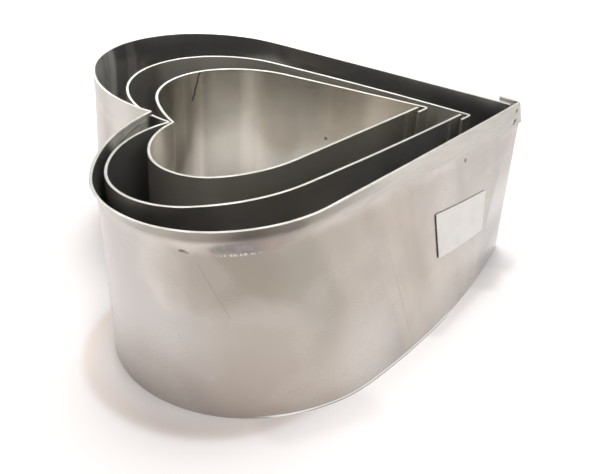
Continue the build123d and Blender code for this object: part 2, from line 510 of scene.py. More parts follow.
def sheetTree():
    group = bpy.data.node_groups.new("sheetFromWall", "GeometryNodeTree")
    tree = Tree(group)
    face = group.interface
    face.new_socket("Geometry", in_out="INPUT", socket_type="NodeSocketGeometry")
    for name in ("Sheet Thickness", "Hand Wave", "Wave Size"):
        face.new_socket(name, in_out="INPUT", socket_type="NodeSocketFloat")
    face.new_socket("Seed", in_out="INPUT", socket_type="NodeSocketInt")
    for name in ("Outside Finish", "Inside Finish", "Edge Finish"):
        face.new_socket(name, in_out="INPUT", socket_type="NodeSocketMaterial")
    face.new_socket("Geometry", in_out="OUTPUT", socket_type="NodeSocketGeometry")
    given = tree.node("NodeGroupInput").outputs

    def stored(name, kind="FLOAT"):
        node = tree.node("GeometryNodeInputNamedAttribute", data_type=kind)
        node.inputs["Name"].default_value = name
        return node.outputs["Attribute"]

    outward = stored("outward", "FLOAT_VECTOR")

    # the wall was bent by hand, so it gives a little, always towards the inside
    strip = tree.node("ShaderNodeCombineXYZ")
    tree.link(stored("along"), strip.inputs[0])
    tree.link(tree.product(stored("up"), waves["upShare"]), strip.inputs[1])
    tree.link(tree.product(given["Seed"], waves["seedStep"]), strip.inputs[2])
    noise = tree.node("ShaderNodeTexNoise")
    tree.link(strip.outputs[0], noise.inputs["Vector"])
    tree.link(tree.math("DIVIDE", 1.0, given["Wave Size"]), noise.inputs["Scale"])
    noise.inputs["Detail"].default_value = waves["detail"]
    give = tree.product(noise.outputs[0], given["Hand Wave"], stored("freedom"))
    half = tree.product(given["Sheet Thickness"], 0.5)
    inward = tree.scaled(outward, tree.product(tree.math("ADD", give, half), -1.0))
    inner = tree.node("GeometryNodeSetPosition")
    tree.link(given["Geometry"], inner.inputs["Geometry"])
    tree.link(inward, inner.inputs["Offset"])

    extrude = tree.node("GeometryNodeExtrudeMesh", mode="FACES")
    extrude.inputs["Individual"].default_value = False
    extrude.inputs["Offset Scale"].default_value = 0.0
    tree.link(inner.outputs[0], extrude.inputs["Mesh"])
    outer = tree.node("GeometryNodeSetPosition")
    tree.link(extrude.outputs["Mesh"], outer.inputs["Geometry"])
    tree.link(extrude.outputs["Top"], outer.inputs["Selection"])
    tree.link(tree.scaled(outward, given["Sheet Thickness"]), outer.inputs["Offset"])

    flip = tree.node("GeometryNodeFlipFaces")
    tree.link(inner.outputs[0], flip.inputs["Mesh"])
    join = tree.node("GeometryNodeJoinGeometry")
    tree.link(flip.outputs[0], join.inputs[0])
    tree.link(outer.outputs[0], join.inputs[0])
    merge = tree.node("GeometryNodeMergeByDistance")
    merge.inputs["Distance"].default_value = 1e-6
    tree.link(join.outputs[0], merge.inputs["Geometry"])

    real = tree.node("GeometryNodeRealizeInstances")
    tree.link(merge.outputs[0], real.inputs[0])
    shape = real.outputs[0]
    for finish, chosen in (
        ("Inside Finish", None),
        ("Outside Finish", extrude.outputs["Top"]),
        ("Edge Finish", extrude.outputs["Side"]),
    ):
        paint = tree.node("GeometryNodeSetMaterial")
        tree.link(shape, paint.inputs["Geometry"])
        tree.link(given[finish], paint.inputs["Material"])
        if chosen is not None:
            tree.link(chosen, paint.inputs["Selection"])
        shape = paint.outputs[0]
    result = tree.node("NodeGroupOutput")
    tree.link(shape, result.inputs[0])
    return group


def socketId(group, name):
    inputs = [item for item in group.interface.items_tree if item.in_out == "INPUT"]
    return next(item.identifier for item in inputs if item.name == name)


def madePlain(piece, name):
    # the evaluated shape becomes the piece's own mesh, and its modifiers go
    seen = piece.evaluated_get(bpy.context.evaluated_depsgraph_get())
    data = bpy.data.meshes.new_from_object(seen)
    data.name = name
    piece.modifiers.clear()
    piece.data = data
    return piece


sheetFromWall = sheetTree()


def breakEdges(piece, width):
    bevel = piece.modifiers.new("brokenEdges", "BEVEL")
    bevel.width = width * mm
    bevel.limit_method = "ANGLE"
    bevel.angle_limit = math.radians(edgeAngle)
    bevel.harden_normals = True
    return bevel


def addBand(name, wall, seed, finishes):
    piece = placed(name, wall)
    modifier = piece.modifiers.new("sheetFromWall", "NODES")
    modifier.node_group = sheetFromWall
    for key, value in {
        "Sheet Thickness": sheet["thickness"] * mm,
        "Hand Wave": waves["depth"] * mm,
        "Wave Size": waves["size"],
        "Seed": seed,
        "Outside Finish": finishes[0],
        "Inside Finish": finishes[1],
        "Edge Finish": finishes[2],
    }.items():
        modifier[socketId(sheetFromWall, key)] = value
    breakEdges(piece, brokenEdge).segments = 2
    return madePlain(piece, name)


# the finishes

def newFinish(name):
    material = bpy.data.materials.new(name)
    material.use_nodes = True
    return material, Tree(material.node_tree), material.node_tree.nodes["Principled BSDF"]


def spread(tree, noise, low, high, share):
    # a tone that swings about 1 by a share
    return tree.ramp(noise, low, high, 1 - share, 1 + share)


def stripPlace(tree):
    # where a point lies on its strip, in mm: along it and up it
    along = tree.node("ShaderNodeAttribute", attribute_name="along").outputs["Fac"]
    up = tree.node("ShaderNodeAttribute", attribute_name="up").outputs["Fac"]
    place = tree.node("ShaderNodeCombineXYZ")
    tree.link(along, place.inputs[0])
    tree.link(up, place.inputs[1])
    return place.outputs[0], along, up


upright = 1000.0           # the height of a spot that runs all the way up


def spotMask(tree, place, centre, size, soft=0.5):
    # 1 inside an oval spot, 0 outside it
    away = tree.vector("SUBTRACT", place, (*centre, 0.0))
    away = tree.vector("DIVIDE", away, (*size, 1.0))
    return tree.ramp(tree.vector("LENGTH", away), 1 - soft, 1 + soft, 1.0, 0.0)


def lineMask(tree, place, start, end, width):
    # 1 on a line from start to end, 0 off it
    span = (end[0] - start[0], end[1] - start[1], 0.0)
    fromStart = tree.vector("SUBTRACT", place, (*start, 0.0))
    reach = tree.vector("DOT_PRODUCT", fromStart, span)
    share = tree.math("DIVIDE", reach, span[0] ** 2 + span[1] ** 2)
    share = tree.math("MINIMUM", tree.math("MAXIMUM", share, 0.0), 1.0)
    gap = tree.vector("SUBTRACT", fromStart, tree.scaled(span, share))
    return tree.ramp(tree.vector("LENGTH", gap), width * 0.4, width, 1.0, 0.0)


def steelBase(tree, look, place):
    # tone, roughness and relief that every rolled face has, and the painted reflections of its look's
    # zones
    bandNoise = tree.noise(place, look["bandSize"], 2.0, (1, 9, 1), look["seed"])
    cloudNoise = tree.noise(place, look["cloudSize"], 3.0, (1, 1.3, 1), look["seed"] + 5.3)
    grainNoise = tree.noise(place, look["grainSize"], 2.0, (60, 1, 1), look["seed"] + 9.1)
    tone = tree.product(
        spread(tree, bandNoise, 0.3, 0.7, look["bandTone"]),
        spread(tree, cloudNoise, 0.3, 0.7, look["cloudTone"]),
        spread(tree, grainNoise, 0.25, 0.75, look["grainTone"]),
    )
    warmth = tree.noise(place, look["warmSize"], 1.0, (1, 2, 1), look["seed"] + 2.7)
    colour = tree.mixed(tree.ramp(warmth, 0.35, 0.65), look["coolColour"], look["warmColour"])
    half = look["roughSpread"] / 2
    rough = tree.math("MULTIPLY_ADD", cloudNoise, look["roughSpread"], look["roughness"] - half)
    rough = tree.math("MULTIPLY_ADD", grainNoise, half, rough)
    dents = tree.noise(place, look["dentSize"], 1.0, (1, 1.6, 1), look["seed"] + 7.7)
    relief = tree.product(dents, look["dentDepth"])
    relief = tree.math("MULTIPLY_ADD", grainNoise, look["grainDepth"], relief)
    # painted reflections, light and dark, in upright zones fixed to the strip
    for centre, half, soft, strength, zoneColour in look["zones"]:
        mask = spotMask(tree, place, (centre, 0.0), (half, upright), soft)
        colour = tree.layer(colour, zoneColour, mask, strength)
    return tree.scaled(colour, tone), rough, relief


def finishShader(tree, shader, colour, rough, relief, metallic):
    tree.give(shader.inputs["Metallic"], metallic)
    tree.link(colour, shader.inputs["Base Color"])
    tree.link(rough, shader.inputs["Roughness"])
    bump = tree.node("ShaderNodeBump")
    bump.inputs["Distance"].default_value = mm
    tree.link(relief, bump.inputs["Height"])
    tree.link(bump.outputs["Normal"], shader.inputs["Normal"])


insideLook = {
    "coolColour": (0.40, 0.40, 0.395),
    "warmColour": (0.42, 0.41, 0.39),
    "metallic": 0.905,      # below 1, so that the gaps are as light as in the photograph
    "roughness": 0.19,
    "roughSpread": 0.07,
    "bandSize": 13.0,       # soft upright bands, mm
    "bandTone": 0.06,
    "cloudSize": 11.0,
    "cloudTone": 0.03,
    "grainSize": 0.35,      # rolling lines along the strip
    "grainTone": 0.012,
    "grainDepth": 0.003,    # mm
    "dentSize": 17.0,
    "dentDepth": 0.10,
    "warmSize": 30.0,
    "seed": 4.0,
    # upright zones, fitted to the reflections in the photograph and fixed to the strip:
    # centre, half width, softness, strength, colour
    "zones": (
        (122.0, 12.0, 0.3, 0.5, (0.30, 0.30, 0.295)),
        (158.0, 10.5, 0.15, 0.85, (0.97, 0.95, 0.90)),
        (150.3, 1.4, 0.5, 0.5, (0.60, 0.59, 0.57)),
        (145.3, 1.9, 0.45, 0.9, (1.0, 0.98, 0.94)),
        (140.4, 2.4, 0.4, 0.5, (0.45, 0.44, 0.42)),
        (135.6, 1.9, 0.25, 0.55, (0.80, 0.78, 0.74)),
        (8.0, 17.0, 0.6, 0.75, (0.25, 0.25, 0.245)),
    ),
}

# the collar's slope beside the notch is scuffed dull, with a slanting crease in it that is drawn as a
# line of painted shade
notchScuff = {
    "start": 202.0,
    "end": 221.5,
    "bottom": 43.5,
    "colour": (0.64, 0.62, 0.55),
    "film": 0.8,
    "crease": ((205.2, 48.2), (216.5, 46.4)),
    "creaseWidth": 0.3,
    "lobe": (154.0, 11.0),      # the far lobe's middle is dull as well
    "lobeFilm": 0.2,
}

# the open flap's face is painted light, with two lines of painted shade, which run with its rim, and a
# painted highlight between them
flapFace = {
    "start": 391.0,             # mm along the strip
    "colour": (0.95, 0.94, 0.88),
    "film": 0.5,
    "lines": ((49.45, 0.22), (47.75, 0.3)),     # height and half width
    "lineColour": (0.13, 0.13, 0.11),
    "lightColour": (0.75, 0.74, 0.69),
}

mediumOutsideLook = {
    **insideLook,
    "metallic": 0.89,
    # the same steel as the other faces, with its colour raised as painted light
    "coolColour": (0.62, 0.61, 0.58),
    "warmColour": (0.63, 0.60, 0.56),
    "seed": 8.0,
    # painted reflections, light and dark, fixed to the strip
    "zones": (
        (98.0, 10.0, 0.5, 0.8, (0.22, 0.20, 0.18)),
        (67.0, 22.0, 0.4, 0.7, (0.34, 0.315, 0.285)),
        (20.0, 26.0, 0.5, 0.5, (0.75, 0.72, 0.68)),
    ),
}

mediumInsideLook = {
    **insideLook,
    "metallic": 0.84,
    "coolColour": (0.50, 0.495, 0.48),
    "warmColour": (0.52, 0.50, 0.475),
    # a painted reflection, fixed to the strip
    "zones": ((262.0, 52.0, 0.06, 0.85, (0.86, 0.85, 0.79)),),
}

smallOutsideLook = {
    **insideLook,
    "metallic": 0.89,
    # the same steel as the other faces, with its colour raised as painted light
    "coolColour": (0.72, 0.695, 0.645),
    "warmColour": (0.73, 0.69, 0.615),
    "seed": 23.0,
    # a dark painted reflection, fixed to the strip
    "zones": ((88.0, 8.0, 0.5, 0.5, (0.45, 0.43, 0.38)),),
}

smallInsideLook = {
    **insideLook,
    "metallic": 0.89,
    "coolColour": (0.59, 0.575, 0.53),
    "warmColour": (0.63, 0.59, 0.525),
    "cloudTone": 0.06,
    "seed": 17.0,
    # painted reflections, light and dark, fixed to the strip
    "zones": (
        (148.0, 7.5, 0.35, 0.6, (0.38, 0.36, 0.31)),
        (157.6, 1.7, 0.4, 0.5, (0.78, 0.76, 0.70)),
        (161.3, 1.9, 0.3, 0.45, (0.92, 0.89, 0.82)),
        (170.2, 6.2, 0.2, 0.8, (0.43, 0.42, 0.385)),
        (178.4, 2.8, 0.25, 0.6, (0.52, 0.51, 0.47)),
        (190.5, 5.5, 0.4, 0.35, (0.48, 0.465, 0.43)),
        (213.0, 5.5, 0.5, 0.75, (0.42, 0.40, 0.355)),
    ),
}

smallMarks = {
    "rust": ((163.2, 48.4), (160.4, 39.5), 0.42),
    "rustColour": (0.11, 0.07, 0.04),
    "dot": ((205.4, 30.7), (0.5, 0.5)),
    "dotColour": (0.05, 0.045, 0.04),
    "rubbed": ((196.0, 46.0), (7.0, 1.8)),
    "rubbedColour": (0.3, 0.28, 0.25),
}

outsideLook = {
    **insideLook,
    "coolColour": (0.485, 0.47, 0.45),
    "warmColour": (0.485, 0.445, 0.40),
    "metallic": 0.97,
    "roughness": 0.24,
    "cloudTone": 0.05,
    "bandTone": 0.07,
    "seed": 11.0,
    "zones": (),
}

# marks and painted reflections on the large strip's outside, in mm along it and up it
rimZone = {
    "bottom": 43.9,         # where the pressed edge ends
    "waver": 1.6,
    "colour": (0.52, 0.52, 0.48),
    "streakSize": 1.6,
    "paleDepth": 3.2,       # a paler zone below it
    "paleColour": (0.62, 0.59, 0.57),
}
# painted reflections, light and dark, fixed to the strip
paintedWallReflections = (
    # centre, size, softness, strength, colour
    ((252.0, 22.0), (17.0, 30.0), 0.5, 0.85, (0.56, 0.54, 0.525)),
    ((265.0, 37.0), (5.0, 9.0), 0.5, 0.6, (0.70, 0.67, 0.635)),
    ((292.0, 24.0), (20.0, 30.0), 0.6, 0.6, (0.43, 0.395, 0.345)),
    ((188.0, 45.0), (6.0, 9.0), 0.6, 0.8, (0.66, 0.645, 0.62)),
    ((281.5, 36.5), (15.5, 8.5), 0.55, 0.8, (0.32, 0.285, 0.24)),
    ((268.0, 1.0), (26.0, 13.0), 0.7, 0.55, (0.38, 0.32, 0.275)),
    ((298.5, 29.0), (5.5, 15.0), 0.5, 0.55, (0.35, 0.335, 0.295)),
    ((307.0, 8.0), (10.0, 9.0), 0.6, 0.6, (0.58, 0.555, 0.53)),
    ((340.0, 5.0), (11.0, 8.0), 0.6, 0.45, (0.57, 0.55, 0.53)),
    ((382.0, 34.0), (7.0, 10.0), 0.6, 0.65, (0.40, 0.39, 0.38)),
    ((381.5, 4.0), (9.0, 12.5), 0.6, 0.65, (0.30, 0.295, 0.31)),
    ((273.5, 47.5), (7.5, 4.4), 0.45, 0.8, (0.72, 0.68, 0.63)),
    ((290.0, 47.0), (8.8, 4.8), 0.4, 0.85, (0.245, 0.225, 0.205)),
)
spots = (
    ((361.6, 42.2), (0.55, 0.6), 0.8),
    ((270.6, 42.1), (0.8, 0.36), 0.75),
    ((271.6, 41.8), (0.5, 0.3), 0.5),
    ((387.9, 48.4), (0.55, 0.5), 0.8),
    ((387.5, 45.9), (0.85, 0.45), 0.8),
    ((386.9, 45.3), (0.7, 0.3), 0.75),
    ((199.6, 49.0), (0.4, 0.4), 0.6),
)
rawMetal = (0.85, 0.85, 0.84)
# metal thrown up beside the two punch marks
burrs = (
    ((385.8, 46.1), (0.5, 0.5), 0.3),
    ((387.2, 49.1), (0.4, 0.2), 0.4),
)
# the last stretch before the corner is flatter, beyond this line; its reflection is painted as a
# lighter tone
facetReflection = {
    "start": (385.5, 39.5),
    "outward": (0.907, -0.42),
    "colour": (0.62, 0.62, 0.625),
}
scratches = (
    ((273.5, 39.3), (277.5, 26.1), 0.22, 0.2),
    ((324.1, 30.0), (324.8, 19.0), 0.22, 0.15),
    ((324.8, 19.0), (325.5, 2.0), 0.22, 0.22),
)
wipedPatches = {"size": 15.0, "colour": (0.60, 0.58, 0.56), "strength": 0.2}
heatStain = {
    "centre": (286.0, 42.9),
    "size": (9.0, 1.5),
    "blue": (0.23, 0.225, 0.225),
    "brown": (0.37, 0.31, 0.27),
    "brightCentre": (283.0, 41.3),
    "brightSize": (4.6, 0.28),
}


def makeOutsideSteel():
    material, tree, shader = newFinish("outsideSteel")
    place, along, up = stripPlace(tree)
    colour, rough, relief = steelBase(tree, outsideLook, place)

    # the pressed edge below the rim has a ragged lower end, with a paler zone under it
    ragged = tree.noise(place, 4.0, 3.0, (1.6, 1, 1), 3.1)
    edge = tree.math("MULTIPLY_ADD", tree.math("SUBTRACT", ragged, 0.5), rimZone["waver"] * 2, up)
    pressed = tree.ramp(edge, rimZone["bottom"] - 0.3, rimZone["bottom"] + 0.5)
    pale = tree.ramp(edge, rimZone["bottom"] - rimZone["paleDepth"], rimZone["bottom"] - 0.6, 0.0, 0.75)
    streaks = tree.noise(place, rimZone["streakSize"], 2.0, (4, 0.5, 1), 8.4)
    streakTone = tree.ramp(streaks, 0.3, 0.7, 0.93, 1.05)
    patchy = tree.ramp(tree.noise(place, 12.0, 2.0, (1, 1, 1), 17.0), 0.4, 0.6, 0.3, 1.0)
    colour = tree.layer(colour, tree.scaled(rimZone["paleColour"], streakTone), pale, patchy)
    colour = tree.layer(colour, tree.scaled(rimZone["colour"], streakTone), pressed, 0.85)
    rough = tree.math("MULTIPLY_ADD", pale, 0.08, rough)

    # painted reflections, light and dark, in zones with a wandering border
    wander = tree.noise(place, 9.0, 2.0, (1, 1.5, 1), 31.0)
    lost = tree.vector("MULTIPLY_ADD", tree.math("SUBTRACT", wander, 0.5), (7.0, 7.0, 0.0), place)
    for centre, size, soft, strength, dullFilmAndReflection in paintedWallReflections:
        colour = tree.layer(colour, dullFilmAndReflection, spotMask(tree, lost, centre, size, soft), strength)

    # the flatter stretch at the corner, with its reflection painted as a lighter tone
    beyond = tree.vector("SUBTRACT", place, (*facetReflection["start"], 0.0))
    beyond = tree.vector("DOT_PRODUCT", beyond, (*facetReflection["outward"], 0.0))
    rising, falling = tree.ramp(up, 12.0, 20.0, 0.0, 0.6), tree.ramp(up, 23.0, 32.0, 1.0, 0.3)
    colour = tree.layer(colour, facetReflection["colour"], tree.ramp(beyond, -0.2, 0.3), rising, falling)

    # wiped patches
    wiped = tree.ramp(tree.noise(place, wipedPatches["size"], 1.0, (1.2, 1, 1), 21.0), 0.48, 0.64)
    colour = tree.layer(colour, wipedPatches["colour"], wiped, wipedPatches["strength"])
    rough = tree.math("MULTIPLY_ADD", wiped, 0.03, rough)

    # the foot's curl: a painted highlight between two dark lines
    bright = tree.product(tree.ramp(up, 0.06, 0.14), tree.ramp(up, 0.40, 0.48, 1.0, 0.0))
    dark = tree.product(tree.ramp(up, 0.5, 0.75, 1.0, 0.0), tree.math("SUBTRACT", 1.0, bright))
    curled = tree.product(
        tree.ramp(along, footCurl["start"], footCurl["start"] + footCurl["fade"]),
        tree.ramp(along, footCurl["end"] - footCurl["fade"], footCurl["end"], 1.0, 0.0),
    )
    bright = tree.product(bright, curled)
    colour = tree.mixed(bright, colour, footCurl["brightColour"])
    colour = tree.layer(colour, footCurl["darkColour"], dark, curled, 0.4)
    metallic = tree.math("MULTIPLY_ADD", bright, -0.85, outsideLook["metallic"])

    # heat stain
    frayed = tree.noise(place, 2.4, 3.0, (1, 1, 1), 27.0)
    frayed = tree.vector("MULTIPLY_ADD", tree.math("SUBTRACT", frayed, 0.5), (5.0, 1.6, 0.0), place)
    stain = spotMask(tree, frayed, heatStain["centre"], heatStain["size"], 0.3)
    hue = tree.ramp(along, heatStain["centre"][0] - 1, heatStain["centre"][0] + 5)
    stainColour = tree.mixed(hue, heatStain["blue"], heatStain["brown"])
    blotch = tree.ramp(tree.noise(place, 2.2, 2.0, (1, 1, 1), 5.0), 0.3, 0.6, 0.5, 0.95)
    colour = tree.layer(colour, stainColour, stain, blotch)
    bright = spotMask(tree, place, heatStain["brightCentre"], heatStain["brightSize"], 0.5)
    beads = tree.ramp(tree.noise(place, 0.8, 1.0, (1, 4, 1), 2.0), 0.4, 0.6, 0.0, 0.45)
    colour = tree.layer(colour, rawMetal, bright, beads)

    for centre, size, depth in spots:
        mask = spotMask(tree, place, centre, size)
        colour = tree.layer(colour, (0.1, 0.09, 0.08), mask, depth)
        relief = tree.math("MULTIPLY_ADD", mask, -0.02, relief)
    for centre, size, strength in burrs:
        colour = tree.layer(colour, rawMetal, spotMask(tree, place, centre, size), strength)
    for start, end, width, depth in scratches:
        colour = tree.layer(colour, (0.2, 0.17, 0.15), lineMask(tree, place, start, end, width), depth)

    # a few specks, most of them near the rim
    cells = tree.node("ShaderNodeTexVoronoi")
    tree.link(tree.vector("MULTIPLY", place, (0.22, 0.22, 1.0)), cells.inputs["Vector"])
    cells.inputs["Scale"].default_value = 1.0
    speck = tree.ramp(cells.outputs["Distance"], 0.03, 0.07, 1.0, 0.0)
    chosen = tree.ramp(tree.noise(place, 22.0, 1.0, (1, 1, 1), 13.0), 0.5, 0.6)
    nearRim = tree.ramp(up, 20.0, 44.0, 0.15, 0.8)
    colour = tree.layer(colour, (0.25, 0.22, 0.2), speck, chosen, nearRim, 0.6)
    finishShader(tree, shader, colour, rough, relief, metallic)
    return material


def makeStripSteel(name, look):
    # a rolled face with no marks of its own, only the painted reflections of its look
    material, tree, shader = newFinish(name)
    place = stripPlace(tree)[0]
    finishShader(tree, shader, *steelBase(tree, look, place), look["metallic"])
    return material


def makeInsideSteel():
    material, tree, shader = newFinish("insideSteel")
    place, along, up = stripPlace(tree)
    colour, rough, relief = steelBase(tree, insideLook, place)
    scuff = notchScuff
    dullFilmAndReflection = tree.product(
        tree.ramp(along, scuff["start"] - 1, scuff["start"] + 1),
        tree.ramp(along, scuff["end"] - 5, scuff["end"] + 1, 1.0, 0.0),
        tree.ramp(up, scuff["bottom"], scuff["bottom"] + 1),
    )
    streaks = tree.noise(place, 1.6, 2.0, (2.5, 0.5, 1), 44.0)
    tone = tree.ramp(streaks, 0.35, 0.65, 0.82, 1.1)
    colour = tree.mixed(dullFilmAndReflection, colour, tree.scaled(scuff["colour"], tone))
    # the crease, drawn as a line of painted shade
    crease = lineMask(tree, place, *scuff["crease"], scuff["creaseWidth"])
    colour = tree.layer(colour, (0.12, 0.115, 0.10), crease, 0.45)
    metallic = tree.math("MULTIPLY_ADD", dullFilmAndReflection, -scuff["film"], insideLook["metallic"])
    lobe = spotMask(tree, place, (scuff["lobe"][0], 0.0), (scuff["lobe"][1], upright), 0.2)
    metallic = tree.math("MULTIPLY_ADD", lobe, -scuff["lobeFilm"], metallic)
    # the flap's face: painted light, with lines of painted shade and a painted highlight between them
    flap = tree.ramp(along, flapFace["start"], flapFace["start"] + 0.6)
    colour = tree.layer(colour, flapFace["colour"], flap, 0.7)
    metallic = tree.math("MULTIPLY_ADD", flap, -flapFace["film"], metallic)
    for height, half in flapFace["lines"]:
        fromLine = tree.math("ABSOLUTE", tree.math("SUBTRACT", up, height))
        line = tree.ramp(fromLine, half * 0.5, half, 0.75, 0.0)
        colour = tree.layer(colour, flapFace["lineColour"], line, flap)
    light = tree.product(tree.ramp(up, 47.9, 48.1), tree.ramp(up, 49.1, 49.3, 1.0, 0.0))
    colour = tree.layer(colour, flapFace["lightColour"], light, flap, 0.8)
    finishShader(tree, shader, colour, rough, relief, metallic)
    return material


def makeSmallInside():
    material, tree, shader = newFinish("smallInsideSteel")
    place = stripPlace(tree)[0]
    colour, rough, relief = steelBase(tree, smallInsideLook, place)
    # a rusty hairline that wanders down from the rim, and one dark speck
    waver = tree.noise(place, 2.5, 2.0, (1, 1, 1), 6.0)
    bent = tree.vector("MULTIPLY_ADD", waver, (1.6, 0.0, 0.0), place)
    rust = lineMask(tree, bent, *smallMarks["rust"])
    colour = tree.layer(colour, smallMarks["rustColour"], rust, 0.95)
    dot = spotMask(tree, place, *smallMarks["dot"])
    colour = tree.layer(colour, smallMarks["dotColour"], dot, 0.85)
    scuffs = tree.ramp(tree.noise(place, 1.3, 2.0, (3, 1, 1), 4.0), 0.52, 0.66)
    rubbed = spotMask(tree, place, *smallMarks["rubbed"])
    colour = tree.layer(colour, smallMarks["rubbedColour"], scuffs, rubbed, 0.35)
    finishShader(tree, shader, colour, rough, relief, smallInsideLook["metallic"])
    return material


def makeCutEdge():
    # sheared edges, rubbed bright, with a slightly yellow cast in places
    material, tree, shader = newFinish("cutEdge")
    shader.inputs["Metallic"].default_value = 1.0
    place = stripPlace(tree)[0]
    worn = tree.noise(place, 6.0, 3.0, (1, 1, 1), 1.5)
    colour = tree.mixed(tree.ramp(worn, 0.35, 0.65), (0.56, 0.55, 0.52), (0.45, 0.44, 0.385))
    # painted light: brighter towards the far side, fitted to the rims in the photograph
    across = tree.node("ShaderNodeSeparateXYZ")
    tree.link(tree.node("ShaderNodeTexCoord").outputs["Object"], across.inputs[0])
    paintedFarLight = tree.ramp(across.outputs["Y"], -12 * mm, 18 * mm, 1.0, 1.55)
    tree.link(tree.scaled(colour, paintedFarLight), shader.inputs["Base Color"])
    tree.link(tree.math("MULTIPLY_ADD", worn, 0.2, 0.35), shader.inputs["Roughness"])
    return material


outsideSteel = makeOutsideSteel()
insideSteel = makeInsideSteel()
mediumOutsideSteel = makeStripSteel("mediumOutsideSteel", mediumOutsideLook)
mediumInsideSteel = makeStripSteel("mediumInsideSteel", mediumInsideLook)
smallOutsideSteel = makeStripSteel("smallOutsideSteel", smallOutsideLook)
smallInsideSteel = makeSmallInside()
cutEdge = makeCutEdge()

mediumWall = innerWall(mediumFootPath, mediumPath, mediumSizes, "mediumWall")
smallWall = innerWall(smallPath, smallPath, smallSizes, "smallWall")
for name, wall, seed, body, node, outside, inside in (
    ("largeBand", largeWall(), 3, "large", "large_cutter", outsideSteel, insideSteel),
    ("mediumBand", mediumWall, 7, "medium", "medium_cutter", mediumOutsideSteel, mediumInsideSteel),
    ("smallBand", smallWall, 11, "small", "small_cutter", smallOutsideSteel, smallInsideSteel),
):
    piece = addBand(name, wall, seed, (outside, inside, cutEdge))
    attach(piece, body)
    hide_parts(node)
print("bands made")


# the blank adhesive label, on the large strip's near flank

labelSizes = {
    "width": 27.0,
    "height": 13.0,
    "thickness": 0.16,
    "gap": 0.02,            # off the steel
    "corner": 0.6,
    "softEdge": 0.04,
    "flankShare": 0.63,
    "centreHeight": 23.9,
    "tilt": 6.0,            # degrees, the end towards the tip down
    "colour": (0.91, 0.87, 0.82),
    "lift": 0.05,           # how far its free corner has come away
    "liftReach": 9.0,
    "columns": 54,
    "rows": 26,
}


def flankPoint(share, height):
    # a point of the near flank's outside, its outward direction included
    rise = height / (large["height"] - large["collar"])
    low, lowOut = footPath.steps[8](share)
    high, highOut = neckPath.steps[8](share)
    out = lowOut * (1 - rise) + highOut * rise
    out = out / np.linalg.norm(out)
    return low * (1 - rise) + high * rise + out * sheet["thickness"] / 2, out


def makeLabelPaper():
    material, tree, shader = newFinish("labelPaper")
    coords = tree.node("ShaderNodeTexCoord").outputs["Object"]
    fibres = tree.noise(coords, 0.4 * mm, 3.0)
    clouds = tree.noise(coords, 6.0 * mm, 3.0)
    tone = tree.ramp(clouds, 0.3, 0.7, 0.95, 1.02)
    tone = tree.product(tone, tree.ramp(fibres, 0.3, 0.7, 0.985, 1.01))
    colour = tree.scaled(labelSizes["colour"], tone)
    # grime and painted shade along its free end
    fromEnd = tree.node("ShaderNodeAttribute", attribute_name="fromEnd").outputs["Fac"]
    ragged = tree.noise(coords, 2.0 * mm, 2.0)
    grimeAndShade = tree.ramp(tree.math("MULTIPLY_ADD", ragged, 0.15, fromEnd), 0.1, 0.24, 0.85, 0.0)
    colour = tree.mixed(grimeAndShade, colour, (0.16, 0.14, 0.125))
    tree.link(colour, shader.inputs["Base Color"])
    shader.inputs["Roughness"].default_value = 0.45
    bump = tree.node("ShaderNodeBump")
    bump.inputs["Distance"].default_value = 0.02 * mm
    tree.link(fibres, bump.inputs["Height"])
    tree.link(bump.outputs["Normal"], shader.inputs["Normal"])
    return material


def addLabel():
    sizes = labelSizes
    ends = [flankPoint(share, sizes["centreHeight"])[0] for share in (0.0, 1.0)]
    flankLength = math.dist(*ends)
    cos, sin = cosine(sizes["tilt"]), sine(sizes["tilt"])
    places, fromEnds, faces = [], [], []
    for row in range(sizes["rows"] + 1):
        for column in range(sizes["columns"] + 1):
            x = sizes["width"] * (column / sizes["columns"] - 0.5)
            y = sizes["height"] * (row / sizes["rows"] - 0.5)
            # corners are rounded by drawing their points in
            overX = max(abs(x) - (sizes["width"] / 2 - sizes["corner"]), 0)
            overY = max(abs(y) - (sizes["height"] / 2 - sizes["corner"]), 0)
            over = math.hypot(overX, overY)
            drawn = max(over - sizes["corner"], 0) / over if over else 0
            x -= math.copysign(overX * drawn, x)
            y -= math.copysign(overY * drawn, y)
            fromCorner = math.hypot(x + sizes["width"] / 2, y + sizes["height"] / 2)
            lift = sizes["lift"] * max(1 - fromCorner / sizes["liftReach"], 0) ** 2
            share = sizes["flankShare"] + (x * cos + y * sin) / flankLength
            height = sizes["centreHeight"] + y * cos - x * sin
            point, out = flankPoint(share, height)
            point = point + out * (sizes["gap"] + lift) + toOrigin
            places.append((*(point * mm), height * mm))
            fromEnds.append(x + sizes["width"] / 2)
    wide = sizes["columns"] + 1
    for row in range(sizes["rows"]):
        for column in range(sizes["columns"]):
            first = row * wide + column
            faces.append((first, first + 1, first + 1 + wide, first + wide))
    data = bpy.data.meshes.new("labelSheet")
    data.from_pydata(places, [], faces)
    data.attributes.new("fromEnd", "FLOAT", "POINT").data.foreach_set("value", fromEnds)
    data.shade_smooth()
    data.materials.append(makeLabelPaper())
    piece = placed("blankLabel", data)
    thick = piece.modifiers.new("thickness", "SOLIDIFY")
    thick.thickness = sizes["thickness"] * mm
    thick.offset = 1.0
    breakEdges(piece, sizes["softEdge"])
    madePlain(piece, "blankLabel")
    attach(piece, "large")
    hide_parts("label")


addLabel()
print("label made")


# floor, lamps and world

